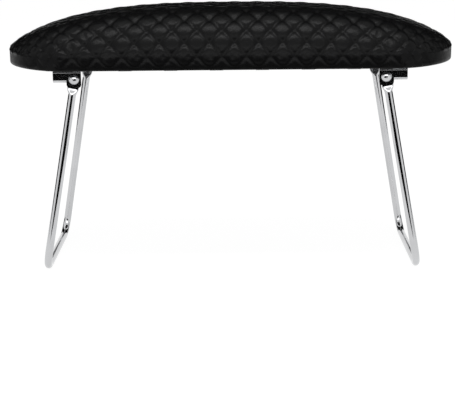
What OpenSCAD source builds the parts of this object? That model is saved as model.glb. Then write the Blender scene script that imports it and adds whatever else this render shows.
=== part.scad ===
// Manicure hand rest: a quilted, crowned pad on a board, with two folding wire legs.
// +X runs along the pad, +Y to the back and +Z up. The origin is on the table, under the middle.

/* [Pad] */
// Length of the pad from end to end
pad_len = 350; // [300:1:420]
// Depth of the pad from front to back
pad_depth = 125; // [105:1:145]
// Length of each rounded end, along the pad
end_len = 48; // [42:1:56]
// Roundness of the ends, where 2 is an ellipse
end_power = 1.7; // [1.5:0.1:2.2]
// Height of the crown above the wall
crown_h = 33; // [24:1:40]
// How the crown falls away along the pad: flatness of its middle
fall_len_power = 2.75; // [2.2:0.05:3.4]
// How the crown falls away along the pad: bluntness at its ends
fall_len_blunt = 0.69; // [0.5:0.01:0.9]
// How the crown falls away across the pad: flatness of its middle
fall_dep_power = 4.8; // [3:0.1:6]
// How the crown falls away across the pad: bluntness at its edges
fall_dep_blunt = 0.93; // [0.6:0.01:1]

/* [Cover] */
// Thickness of the quilted cover with its wadding
cover_t = 2.8; // [2.4:0.1:3.6]
// Depth of the quilting grooves on the crown
groove_depth = 1.6; // [0.8:0.1:1.8]
// Diamonds along the pad
quilt_cols = 19; // [15:1:22]
// Half diamonds across the crown
quilt_rows = 15; // [11:1:17]
// How far the pattern sits to one side of the middle
quilt_shift = 3.6; // [-4:0.1:4]
// Thickness of the hem turned under the board
hem_t = 1; // [0.8:0.1:1.4]
// Width of the hem turned under the board
hem_w = 28; // [22:1:32]
// Radius where the wall turns under
turn_r = 1.5; // [1:0.1:2]

/* [Board and lining] */
// Thickness of the board
board_t = 9; // [7:0.5:12]
// Rise of the wall above the board
wall_rise = 1; // [0.6:0.1:2]
// Slack between the board or foam and the cover
fill_gap = 0.3; // [0.2:0.05:0.4]
// Clearance between the top of the board and the cover above it
seat_gap = 0.5; // [0.2:0.05:0.6]
// Thickness of the dust cover
dust_t = 0.5; // [0.4:0.05:0.8]
// Distance from the pad's edge to the dust cover's edge
dust_inset = 6; // [5:0.5:8]

/* [Staples] */
// Staples round the hem of the cover
cover_staple_count = 30; // [20:2:40]
// Distance from the pad's edge to the cover's staples
cover_staple_inset = 17; // [14:0.5:18]
// Staples round the dust cover
dust_staple_count = 26; // [18:2:36]
// Distance from the pad's edge to the dust cover's staples
dust_staple_inset = 9; // [8.5:0.25:9.5]
// Length of a staple's crown
staple_w = 10; // [8:0.5:12]
// Length of a staple's legs
staple_leg = 6; // [5:0.5:7]
// Thickness of the staple wire
staple_wire = 0.7; // [0.5:0.05:0.75]

/* [Hinges] */
// Distance from each end of the pad to the hinge pins under it
hinge_inset = 56.25; // [50:0.25:65]
// Height from the hinge pins up to the underside of the pad
pin_drop = 7.4; // [7.2:0.1:8.4]
// Diameter of a hinge pin's shank
pin_d = 4; // [3:0.1:4.4]
// Diameter of the domed head of a hinge pin
pin_head_d = 8; // [7:0.1:9]
// Height of the domed head of a hinge pin
pin_head_h = 2.2; // [1.6:0.1:2.6]
// Diameter of the formed tail of a hinge pin
pin_tail_d = 6.4; // [5.6:0.1:7]
// Height of the formed tail of a hinge pin
pin_tail_h = 1.3; // [1:0.1:1.8]
// Running clearance of a leg's eye round its pin, on the radius
pin_gap = 0.05; // [0.03:0.01:0.08]
// Side play of a leg's eye between washer and tail, on each side
side_gap = 0.1; // [0.05:0.05:0.15]
// Diameter of a friction washer
washer_d = 9; // [8:0.1:9.4]
// Thickness of a friction washer
washer_t = 0.5; // [0.4:0.05:0.6]

/* [Brackets] */
// Thickness of the bracket sheet
sheet_t = 1.5; // [1.2:0.1:1.8]
// Outer radius of the bracket's bends
sheet_bend_r = 2.4; // [2:0.1:2.8]
// Distance from the front and the back of the pad to the brackets' outer faces
bracket_inset = 11.7; // [10.5:0.1:16]
// Length of a bracket on the outboard side of its pin
bracket_out = 16; // [14:0.1:18]
// Length of a bracket on the inboard side of its pin
bracket_in = 5.5; // [5.2:0.1:6]
// Width of the flange against the pad
flange_w = 15.5; // [14:0.1:17]
// Depth of the bracket beside its ear, from the pad to the lip
lip_drop = 9.6; // [9.3:0.1:10.5]
// Width of the lip that stops the leg
lip_w = 7; // [6.5:0.1:8]
// Reach of the ear below its pin
ear_reach = 6.8; // [6:0.1:7.2]
// Half the width of the ear on the outboard side of its pin
ear_out = 5.7; // [5.2:0.1:6]
// Corner radius of the ear
ear_corner_r = 3; // [1.5:0.1:3.5]

/* [Screws] */
// Diameter of a bracket screw's shank
screw_d = 3; // [2.6:0.1:3.4]
// Diameter of a bracket screw's head
screw_head_d = 6.2; // [5.4:0.1:6.6]
// Height of a bracket screw's head
screw_head_h = 1.9; // [1.5:0.1:2.2]
// Length of a bracket screw under its head
screw_len = 9; // [8:0.5:9.5]
// Clearance round a screw's shank, on the radius
screw_gap = 0.05; // [0.03:0.01:0.1]
// Distance from a bracket's outer face to its screws
screw_inset = 10.6; // [10:0.1:11.2]
// Distance from a bracket's ends to its screws
screw_end = 4.6; // [4.2:0.1:5.2]
// Width of the cross recess in a screw's head
recess_w = 0.9; // [0.7:0.05:1.1]
// Length of the cross recess in a screw's head
recess_len = 3.6; // [3:0.1:4]
// Depth of the cross recess in a screw's head
recess_depth = 1; // [0.8:0.05:1.2]

/* [Legs] */
// Diameter of the leg rod
rod_d = 6; // [5:0.1:6.4]
// Length of a leg from its hinge pin to the middle of its foot bar
leg_len = 150.5; // [135:0.5:165]
// Lean of an open leg away from upright, in degrees
leg_lean = 10; // [6:0.5:14]
// Half the width of a leg at the foot, to the middle of the rod
foot_y = 58; // [52:0.5:60]
// Radius of the foot bends, to the middle of the rod
foot_bend_r = 14; // [12:0.5:20]
// Width of a leg's flattened eye
eye_w = 8.8; // [7.6:0.1:9]
// Thickness of a leg's flattened eye
eye_t = 3; // [2.6:0.1:3.4]
// Length of the flattened eye below its pin
eye_len = 9.2; // [8.6:0.1:10]
// Length over which the flat eye swells into the round rod
swell_len = 3; // [2:0.1:4]
// Clearance between an open leg and the lip that stops it
stop_gap = 0.15; // [0.1:0.05:0.25]

/* [Hidden] */
$fn = 48;
// How far a cutting solid passes the faces that it cuts
over = 1;
// Facets round the ends of a leg's swelling
swell_fn = 32;
// Rod diameter that a swelling reaches, as a share of the rod's
swell_rod_share = 0.985;
// Length of the flat slices between which a swelling is drawn
swell_slice = 0.2;
// Growth of the rod's radius in its foot bends
bend_growth = 0.05;
// How far the straight rod runs into a foot bend
bend_lap = 1;
// Steps of the table that spaces the rows of diamonds
arc_steps = 80;
// Half the length over which a dome's slope is taken
slope_step = 0.5;
// How far out from the middle a dome's slope is taken, as a share of the way to the place
slope_place_share = 0.97;
// Depth of the grooves at the top of the wall, as a share of the crown's
wall_groove_share = 0.5;
// Columns and rows of the plain domes inside the cover
core_cols = 18;
core_rows = 8;
// Steps round each end of the board, of its seat, of the hem's window and of the dust cover
end_points = 24;

// Heights, from the table up
rod_r = rod_d / 2;
hinge_z = rod_r + bend_growth + leg_len * cos(leg_lean);
pad_z = hinge_z + pin_drop;
board_z = pad_z + hem_t;
board_top = board_z + board_t;
wall_top = board_top + wall_rise;
seat_z = pad_z - dust_t;

// Places along a hinge pin, from the middle of the pad out to the front or the back
bracket_y = pad_depth / 2 - bracket_inset;
cheek_in_y = bracket_y - sheet_t;
eye_out_y = cheek_in_y - washer_t - side_gap;
eye_y = eye_out_y - eye_t / 2;
tail_y = eye_out_y - eye_t - side_gap;
hinge_x = pad_len / 2 - hinge_inset;

// Splay of the rods from the eyes out to the foot, in degrees
splay = atan((foot_y - eye_y) / (leg_len - eye_len));
// Run of a foot bend along the rod and along the foot bar
bend_run = foot_bend_r * tan((90 + splay) / 2);

// The lip ends where an open leg's eye meets it
stop_drop = (lip_drop + dust_t - pin_drop + eye_w / 2 * sin(leg_lean)) / cos(leg_lean);
lip_end = eye_w / 2 * cos(leg_lean) + stop_drop * sin(leg_lean) + stop_gap;

// The pad's outline

// A place in the pad's outline drawn in by inset: along and across are shares from -1 to 1
// of a rectangle, whose short ends are bent round into the pad's rounded ends.
function plan_point(along, across, inset) =
    let (
        straight = pad_len / 2 - end_len,
        reach = end_len - inset,
        x = abs(along) * (straight + reach),
        into_end = max(0, (x - straight) / reach),
        out = into_end * sqrt(1 - across * across / 2),
        deep = abs(across) * sqrt(1 - into_end * into_end / 2),
        round_sum = pow(pow(out, end_power) + pow(deep, end_power), 1 / end_power),
        pull = round_sum > 0 ? norm([out, deep]) / round_sum : 1
    )
    [
        sign(along) * (into_end > 0 ? straight + reach * out * pull : x),
        sign(across) * (pad_depth / 2 - inset) * deep * pull
    ];

// Height of the crown above the wall at a place in that outline, as a share of the whole crown
function crown_share(place, inset) =
    let (
        straight = pad_len / 2 - end_len,
        reach = end_len - inset,
        into_end = min(1, max(0, (abs(place[0]) - straight) / reach)),
        width_share = pow(1 - pow(into_end, end_power), 1 / end_power),
        half_depth = (pad_depth / 2 - inset) * width_share,
        x_share = min(1, abs(place[0]) / (straight + reach)),
        y_share = half_depth > 0 ? min(1, abs(place[1]) / half_depth) : 0
    )
    pow(1 - pow(x_share, fall_len_power), fall_len_blunt)
    * pow(1 - pow(y_share, fall_dep_power), fall_dep_blunt);

// The crown's outline across the middle of the pad, from its ridge out to its edge
function across_point(share) =
    let (edge = min(1, share))
    [edge * pad_depth / 2, crown_h * pow(1 - pow(edge, fall_dep_power), fall_dep_blunt)];

// Distance over the crown from its ridge, against the share of the half depth that it reaches
arc_table = [
    for (
        step = 0, arc = 0;
        step <= arc_steps;
        arc = arc + norm(across_point((step + 1) / arc_steps) - across_point(step / arc_steps)),
        step = step + 1
    )
    [arc, step / arc_steps]
];
arc_whole = arc_table[arc_steps][0];

// Rows that lie evenly over the crown, as a share of the half depth
function row_share(even) = sign(even) * lookup(abs(even) * arc_whole, arc_table);

// Columns that lie evenly along the pad, moved aside in the middle by the pattern's shift
function column_share(even, shift) = even + shift / (pad_len / 2) * (1 - abs(even));

// Height of a dome above the wall over a place in the outline
function dome_height(place, inset) = (crown_h - inset) * crown_share(place, inset);

// Where a column and a row meet in the outline
function grid_place(col, row, cols, rows, inset, shift) =
    plan_point(column_share(2 * col / cols - 1, shift), row_share(2 * row / rows - 1), inset);

// Direction straight out of a dome over a place, judged a little way in from its rim
function dome_normal(place, inset) =
    let (
        inside = place * slope_place_share,
        right = [slope_step, 0],
        back = [0, slope_step],
        rise_x = dome_height(inside + right, inset) - dome_height(inside - right, inset),
        rise_y = dome_height(inside + back, inset) - dome_height(inside - back, inset),
        out = [-rise_x, -rise_y, 2 * slope_step]
    )
    out / norm(out);

// True where two grooves cross
function is_crossing(col, row) = (col + row) % 2 == 0;

// Depth of the groove at a place: less along the crown's rim, and none at the rim's four corners
function groove_share(col, row, cols, rows) =
    let (
        end = col == 0 || col == cols,
        side = row == 0 || row == rows
    )
    !is_crossing(col, row) || (end && side) ? 0
    : end || side ? wall_groove_share
    : 1;

// The dome's edge, once round, as columns and rows
function edge_loop(cols, rows) = concat(
    [for (col = [0:cols]) [col, 0]],
    [for (row = [1:rows]) [cols, row]],
    [for (col = [cols - 1:-1:0]) [col, rows]],
    [for (row = [rows - 1:-1:1]) [0, row]]
);

// Two triangles of a dome cell, split along the groove that crosses it
function cell_faces(col, row, cols) =
    let (
        near = row * (cols + 1) + col,
        far = near + cols + 1
    )
    is_crossing(col, row)
        ? [[near, far, far + 1], [near, far + 1, near + 1]]
        : [[near, far, near + 1], [far, far + 1, near + 1]];

// Two triangles of a wall cell: top and low are the vertex numbers at its two ends
function wall_faces(top, low, split_down) = split_down
    ? [[top[0], top[1], low[1]], [top[0], low[1], low[0]]]
    : [[top[0], top[1], low[0]], [top[1], low[1], low[0]]];

// A closed dome: a crown of cells, a wall down from its edge and a flat base.
// The wall's rings are pairs of a height and an extra inset, from the top down.
module dome(cols, rows, inset, shift, groove, rings) {
    loop = edge_loop(cols, rows);
    around = len(loop);
    grid_count = (cols + 1) * (rows + 1);
    crown = [
        for (row = [0:rows]) for (col = [0:cols])
            let (
                place = grid_place(col, row, cols, rows, inset, shift),
                depth = groove * groove_share(col, row, cols, rows)
            )
            [place[0], place[1], wall_top + dome_height(place, inset)]
                - depth * dome_normal(place, inset)
    ];
    wall = [
        for (ring = rings) for (at = loop)
            let (place = grid_place(at[0], at[1], cols, rows, inset + ring[1], shift))
            [place[0], place[1], ring[0]]
    ];
    edge = [for (at = loop) at[1] * (cols + 1) + at[0]];
    crown_cells = [
        for (row = [0:rows - 1]) for (col = [0:cols - 1])
            each cell_faces(col, row, cols)
    ];
    wall_cells = [
        for (ring = [0:len(rings) - 1]) for (k = [0:around - 1])
            let (
                next = (k + 1) % around,
                low = grid_count + ring * around,
                high = low - around,
                top = ring == 0 ? [edge[k], edge[next]] : [high + k, high + next],
                crossing = is_crossing(loop[k][0], loop[k][1] + ring)
            )
            each wall_faces(top, [low + k, low + next], crossing)
    ];
    base = [for (k = [0:around - 1]) grid_count + (len(rings) - 1) * around + k];
    polyhedron(points = concat(crown, wall), faces = concat(crown_cells, wall_cells, [base]));
}

// The pad's outline as a flat shape, drawn in by inset
module outline(inset) {
    turn = [for (k = [0:end_points]) 180 * k / end_points - 90];
    function end_point(angle, side) =
        let (
            straight = pad_len / 2 - end_len,
            x = pow(abs(cos(angle)), 2 / end_power),
            y = pow(abs(sin(angle)), 2 / end_power)
        )
        [
            side * (straight + (end_len - inset) * x),
            side * sign(angle) * (pad_depth / 2 - inset) * y
        ];
    polygon(concat([for (angle = turn) end_point(angle, 1)], [for (angle = turn) end_point(angle, -1)]));
}

// Screws stand at both ends of a bracket's flange
screw_xs = [bracket_out - screw_end, screw_end - bracket_in];

// Puts its children at a hinge: x outboard from the pin, y outward from the middle of the pad
module at_hinge(side, face) {
    translate([side * hinge_x, 0, 0])
        mirror([side < 0 ? 1 : 0, 0, 0])
            mirror([0, face < 0 ? 1 : 0, 0])
                children();
}

module at_screws() {
    for (x = screw_xs)
        translate([x, bracket_y - screw_inset, 0])
            children();
}

// Shafts of all the screws, for the holes that they pass through
module screw_holes(low, high) {
    for (side = [-1, 1]) for (face = [-1, 1])
        at_hinge(side, face)
            at_screws()
                translate([0, 0, low])
                    cylinder(r = screw_d / 2 + screw_gap, h = high - low);
}

// The quilted cover: crown, wall and a hem turned under the board
module leather_cover() {
    color([0.03, 0.03, 0.035])
    difference() {
        dome(2 * quilt_cols, quilt_rows, 0, quilt_shift, groove_depth, [
            [pad_z + turn_r, 0], [pad_z, turn_r]
        ]);
        dome(core_cols, core_rows, cover_t, 0, 0, [[board_z, 0]]);
        // Seat of the board, with the board's own smooth outline
        translate([0, 0, board_z])
            linear_extrude(board_t + seat_gap)
                outline(cover_t);
        translate([0, 0, pad_z - over])
            linear_extrude(hem_t + 2 * over)
                outline(hem_w);
        screw_holes(pad_z - over, board_z + over);
    }
}

// The foam that fills the crown above the board
module foam_core() {
    color([0.85, 0.8, 0.6])
    dome(core_cols, core_rows, cover_t + fill_gap, 0, 0, [[board_top, 0]]);
}

// The flat board that carries the brackets
module base_board() {
    color([0.72, 0.58, 0.4])
    difference() {
        translate([0, 0, board_z])
            linear_extrude(board_t)
                outline(cover_t + fill_gap);
        screw_holes(board_z - over, seat_z - sheet_t + screw_len);
    }
}

// The thin lining under the board, which hides the hem's raw edge
module dust_cover() {
    color([0.06, 0.06, 0.06])
    difference() {
        translate([0, 0, seat_z])
            linear_extrude(dust_t)
                outline(dust_inset);
        screw_holes(seat_z - over, pad_z + over);
    }
}

// A place on the outline drawn in by inset, at a share of the way round it
function rim_point(share, inset) =
    let (
        run = share * 2 * (pad_len + pad_depth),
        front = pad_len,
        right = front + pad_depth,
        rear = right + pad_len
    )
    run < front ? plan_point(2 * run / pad_len - 1, -1, inset)
    : run < right ? plan_point(1, 2 * (run - front) / pad_depth - 1, inset)
    : run < rear ? plan_point(1 - 2 * (run - right) / pad_len, 1, inset)
    : plan_point(-1, 1 - 2 * (run - rear) / pad_depth, inset);

// A staple: its crown lies against what it holds, and its legs go up into the board
module staple() {
    translate([-staple_w / 2, -staple_wire / 2, 0])
        cube([staple_w, staple_wire, staple_wire]);
    for (end = [-1, 1])
        translate([end * (staple_w - staple_wire) / 2 - staple_wire / 2, -staple_wire / 2, 0])
            cube([staple_wire, staple_wire, staple_leg]);
}

// A row of staples round the pad, with their crowns at a height
module staple_row(count, inset, height) {
    for (k = [0:count - 1]) {
        here = rim_point((k + 0.5) / count, inset);
        ahead = rim_point((k + 0.75) / count, inset) - rim_point((k + 0.25) / count, inset);
        translate([here[0], here[1], height])
            rotate([0, 0, atan2(ahead[1], ahead[0])])
                staple();
    }
}

// The staples that hold the hem to the board, pressed into the leather
module cover_staples() {
    color([0.75, 0.75, 0.78])
    staple_row(cover_staple_count, cover_staple_inset, pad_z);
}

// The staples that hold the dust cover to the hem and the board
module dust_cover_staples() {
    color([0.75, 0.75, 0.78])
    staple_row(dust_staple_count, dust_staple_inset, seat_z - staple_wire);
}

// A bracket in its own place: x outboard from the pin, y outward, z up to the pad
module bracket_shape() {
    bracket_len = bracket_out + bracket_in;
    inner_r = sheet_bend_r - sheet_t;
    cheek_low = seat_z - lip_drop;
    ear_low = hinge_z - ear_reach;
    // Flange against the pad, with its bend down to the cheek
    translate([-bracket_in, bracket_y - flange_w, seat_z - sheet_t])
        cube([bracket_len, flange_w - sheet_bend_r, sheet_t]);
    translate([-bracket_in, bracket_y - sheet_bend_r, seat_z - sheet_bend_r])
        sheet_bend(bracket_len, inner_r, 0);
    // Cheek down to the lip's bend
    translate([-bracket_in, cheek_in_y, cheek_low + sheet_bend_r])
        cube([bracket_len, sheet_t, lip_drop - 2 * sheet_bend_r]);
    // Bend and lip, which end where the open leg stops
    translate([lip_end, bracket_y - sheet_bend_r, cheek_low + sheet_bend_r])
        sheet_bend(bracket_out - lip_end, inner_r, 1);
    translate([lip_end, bracket_y - lip_w, cheek_low])
        cube([bracket_out - lip_end, lip_w - sheet_bend_r, sheet_t]);
    // Ear round the pin, with rounded corners
    ear_high = cheek_low + sheet_bend_r;
    for (x = [ear_corner_r - bracket_in, ear_out - ear_corner_r])
        translate([x, cheek_in_y, ear_low + ear_corner_r])
            rotate([-90, 0, 0])
                cylinder(r = ear_corner_r, h = sheet_t);
    translate([ear_corner_r - bracket_in, cheek_in_y, ear_low])
        cube([bracket_in + ear_out - 2 * ear_corner_r, sheet_t, ear_high - ear_low]);
    translate([-bracket_in, cheek_in_y, ear_low + ear_corner_r])
        cube([bracket_in + ear_out, sheet_t, ear_high - ear_low - ear_corner_r]);
}

// A quarter bend in the sheet along x: 0 turns the top flange down, 1 turns the cheek in
module sheet_bend(length, inner_r, quarter) {
    rotate([90, 0, 90])
        linear_extrude(length)
            rotate(quarter * -90)
                intersection() {
                    difference() {
                        circle(r = sheet_bend_r);
                        circle(r = inner_r);
                    }
                    square(sheet_bend_r);
                }
}

// A folded sheet bracket, riveted to its leg's eye and screwed to the board
module bracket(side, face) {
    color([0.8, 0.8, 0.82])
    at_hinge(side, face)
        difference() {
            bracket_shape();
            at_screws()
                translate([0, 0, seat_z - sheet_t - over])
                    cylinder(r = screw_d / 2 + screw_gap, h = sheet_t + 2 * over);
            translate([0, bracket_y + over, hinge_z])
                rotate([90, 0, 0])
                    cylinder(d = pin_d, h = sheet_t + 2 * over);
        }
}

// The two round-headed screws of one bracket
module bracket_screws(side, face) {
    color([0.7, 0.7, 0.72])
    at_hinge(side, face)
        at_screws()
            difference() {
                union() {
                    translate([0, 0, seat_z - sheet_t])
                        cylinder(d = screw_d, h = screw_len);
                    translate([0, 0, seat_z - sheet_t])
                        mirror([0, 0, 1])
                            domed_head(screw_head_d, screw_head_h);
                }
                for (turn = [0, 90])
                    translate([0, 0, seat_z - sheet_t - screw_head_h - over])
                        rotate([0, 0, turn])
                            translate([-recess_len / 2, -recess_w / 2, 0])
                                cube([recess_len, recess_w, recess_depth + over]);
            }
}

// A cap cut from a ball: a flat seat at zero and a domed top
module domed_head(width, height) {
    ball_r = (width * width / 4 + height * height) / (2 * height);
    intersection() {
        translate([0, 0, height - ball_r])
            sphere(r = ball_r);
        cylinder(d = width, h = height + over);
    }
}

// The riveted pin of one hinge: domed head outside, shank, and a tail formed over the eye
module hinge_pin(side, face) {
    color([0.85, 0.85, 0.87])
    at_hinge(side, face)
        translate([0, 0, hinge_z])
            rotate([-90, 0, 0]) {
                translate([0, 0, bracket_y])
                    domed_head(pin_head_d, pin_head_h);
                translate([0, 0, tail_y])
                    cylinder(d = pin_d, h = bracket_y - tail_y);
                translate([0, 0, tail_y])
                    mirror([0, 0, 1])
                        domed_head(pin_tail_d, pin_tail_h);
            }
}

// The washer between a bracket's cheek and its leg's eye
module friction_washer(side, face) {
    color([0.9, 0.9, 0.88])
    at_hinge(side, face)
        translate([0, cheek_in_y, hinge_z])
            rotate([90, 0, 0])
                difference() {
                    cylinder(d = washer_d, h = washer_t);
                    translate([0, 0, -over])
                        cylinder(r = pin_d / 2 + pin_gap, h = washer_t + 2 * over);
                }
}

// The flattened eye of a leg and its swelling into the rod, with the pin at zero
module leg_eye() {
    difference() {
        union() {
            rotate([90, 0, 0])
                translate([0, 0, -eye_t / 2])
                    cylinder(d = eye_w, h = eye_t);
            translate([-eye_w / 2, -eye_t / 2, -eye_len])
                cube([eye_w, eye_t, eye_len]);
        }
        rotate([90, 0, 0])
            translate([0, 0, -eye_t / 2 - over])
                cylinder(r = pin_d / 2 + pin_gap, h = eye_t + 2 * over);
    }
    hull() {
        translate([-eye_w / 2, -eye_t / 2, -eye_len])
            cube([eye_w, eye_t, swell_slice]);
        translate([0, 0, -eye_len])
            rotate([splay, 0, 0])
                translate([0, 0, -swell_len - swell_slice])
                    cylinder(d = rod_d * swell_rod_share, h = swell_slice, $fn = swell_fn);
    }
}

// One side of a leg, hung from the pin: eye, rod, foot bend and half the foot bar
module leg_side() {
    rod_len = (leg_len - eye_len) / cos(splay) - bend_run - swell_len;
    translate([0, eye_y, 0])
        leg_eye();
    translate([0, foot_y - bend_run, foot_bend_r - leg_len])
        rotate([0, 90, 0]) {
            rotate_extrude(angle = 90 + splay)
                translate([foot_bend_r, 0])
                    circle(r = rod_r + bend_growth);
            rotate([0, 0, 90 + splay])
                translate([foot_bend_r, -bend_lap, 0])
                    rotate([-90, 0, 0])
                        cylinder(r = rod_r, h = rod_len + bend_lap);
            translate([foot_bend_r, bend_lap, 0])
                rotate([90, 0, 0])
                    cylinder(r = rod_r, h = foot_y - bend_run + bend_lap);
        }
}

// A wire leg, which leans outward when open
module leg(side) {
    color([0.85, 0.85, 0.87])
    translate([side * hinge_x, 0, hinge_z])
        rotate([0, -side * leg_lean, 0]) {
            leg_side();
            mirror([0, 1, 0])
                leg_side();
        }
}

leather_cover();
foam_core();
base_board();
dust_cover();
cover_staples();
dust_cover_staples();
bracket(-1, -1);  // bracket_left_front
bracket(-1, 1);  // bracket_left_rear
bracket(1, -1);  // bracket_right_front
bracket(1, 1);  // bracket_right_rear
bracket_screws(-1, -1);  // screws_left_front
bracket_screws(-1, 1);  // screws_left_rear
bracket_screws(1, -1);  // screws_right_front
bracket_screws(1, 1);  // screws_right_rear
hinge_pin(-1, -1);  // hinge_pin_left_front
hinge_pin(-1, 1);  // hinge_pin_left_rear
hinge_pin(1, -1);  // hinge_pin_right_front
hinge_pin(1, 1);  // hinge_pin_right_rear
friction_washer(-1, -1);  // friction_washer_left_front
friction_washer(-1, 1);  // friction_washer_left_rear
friction_washer(1, -1);  // friction_washer_right_front
friction_washer(1, 1);  // friction_washer_right_rear
leg(-1);  // leg_left
leg(1);  // leg_right
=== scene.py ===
"""The looks of a manicure hand rest: a quilted pad on two folding wire legs.

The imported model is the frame. The quilted cover is built here as the real thing is, one sheet
drawn down along its quilting lines, and each leg is one smooth wire. The brackets, the fixings
and all that the cover hides keep their solids and get their finishes here.
"""

import logging
import math
from dataclasses import dataclass, field
from enum import Enum
from typing import Mapping, Sequence, Union

import bmesh
import bpy
import numpy as np
from mathutils import Matrix, Vector


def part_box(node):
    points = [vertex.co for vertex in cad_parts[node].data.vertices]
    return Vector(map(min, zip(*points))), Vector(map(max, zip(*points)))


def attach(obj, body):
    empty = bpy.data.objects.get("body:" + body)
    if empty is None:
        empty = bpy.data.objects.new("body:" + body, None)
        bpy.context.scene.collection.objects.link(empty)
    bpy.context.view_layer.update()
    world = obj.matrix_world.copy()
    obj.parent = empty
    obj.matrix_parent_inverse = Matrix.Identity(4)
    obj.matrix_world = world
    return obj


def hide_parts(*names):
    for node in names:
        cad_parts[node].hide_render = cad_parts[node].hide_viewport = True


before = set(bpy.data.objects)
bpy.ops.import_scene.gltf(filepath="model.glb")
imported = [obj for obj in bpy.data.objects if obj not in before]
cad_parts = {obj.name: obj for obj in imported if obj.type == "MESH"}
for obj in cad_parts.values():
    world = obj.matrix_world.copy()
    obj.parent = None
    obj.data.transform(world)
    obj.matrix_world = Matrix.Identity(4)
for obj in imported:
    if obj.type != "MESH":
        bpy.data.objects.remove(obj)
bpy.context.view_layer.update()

MM = 0.001
PHOTO_WIDTH = 455

log = logging.getLogger("hand_rest")

Array = np.ndarray
Number = Union[float, "Value"]
Entry = Union[float, Sequence[float], "Value"]


# Shader nodes


@dataclass(frozen=True, eq=False)
class Value:
    """A number, colour or vector that comes out of a node's socket.

    Args:
        graph: the material's nodes that the socket belongs to.
        socket: the socket itself.
    """

    graph: "Graph"
    socket: bpy.types.NodeSocket

    def _math(self, operation: str, *terms: Number) -> "Value":
        """Adds a Math node over these terms."""
        return self.graph.node("ShaderNodeMath", {"operation": operation}, dict(enumerate(terms)))

    def __add__(self, other: Number) -> "Value":
        """self + other"""
        return self._math("ADD", self, other)

    def __radd__(self, other: Number) -> "Value":
        """other + self"""
        return self._math("ADD", other, self)

    def __sub__(self, other: Number) -> "Value":
        """self - other"""
        return self._math("SUBTRACT", self, other)

    def __rsub__(self, other: Number) -> "Value":
        """other - self"""
        return self._math("SUBTRACT", other, self)

    def __mul__(self, other: Number) -> "Value":
        """self * other"""
        return self._math("MULTIPLY", self, other)

    def __rmul__(self, other: Number) -> "Value":
        """other * self"""
        return self._math("MULTIPLY", other, self)

    def sibling(self, output: str) -> "Value":
        """Another output of the node that this one comes from."""
        return Value(self.graph, self.socket.node.outputs[output])

    def sine(self) -> "Value":
        """The sine of a number in radians."""
        return self._math("SINE", self)

    def absolute(self) -> "Value":
        """The number without its sign."""
        return self._math("ABSOLUTE", self)

    def at_least(self, low: Number) -> "Value":
        """The larger of the two."""
        return self._math("MAXIMUM", self, low)

    def ramp(self, low: float, high: float, start: float = 0.0, end: float = 1.0) -> "Value":
        """A smooth step.

        Args:
            low: where the step begins.
            high: where the step ends.
            start: the value before it.
            end: the value after it.

        Returns:
            The stepped number.
        """
        return self.graph.node(
            "ShaderNodeMapRange",
            {"interpolation_type": "SMOOTHSTEP"},
            {"Value": self, "From Min": low, "From Max": high, "To Min": start, "To Max": end},
            "Result",
        )


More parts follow.
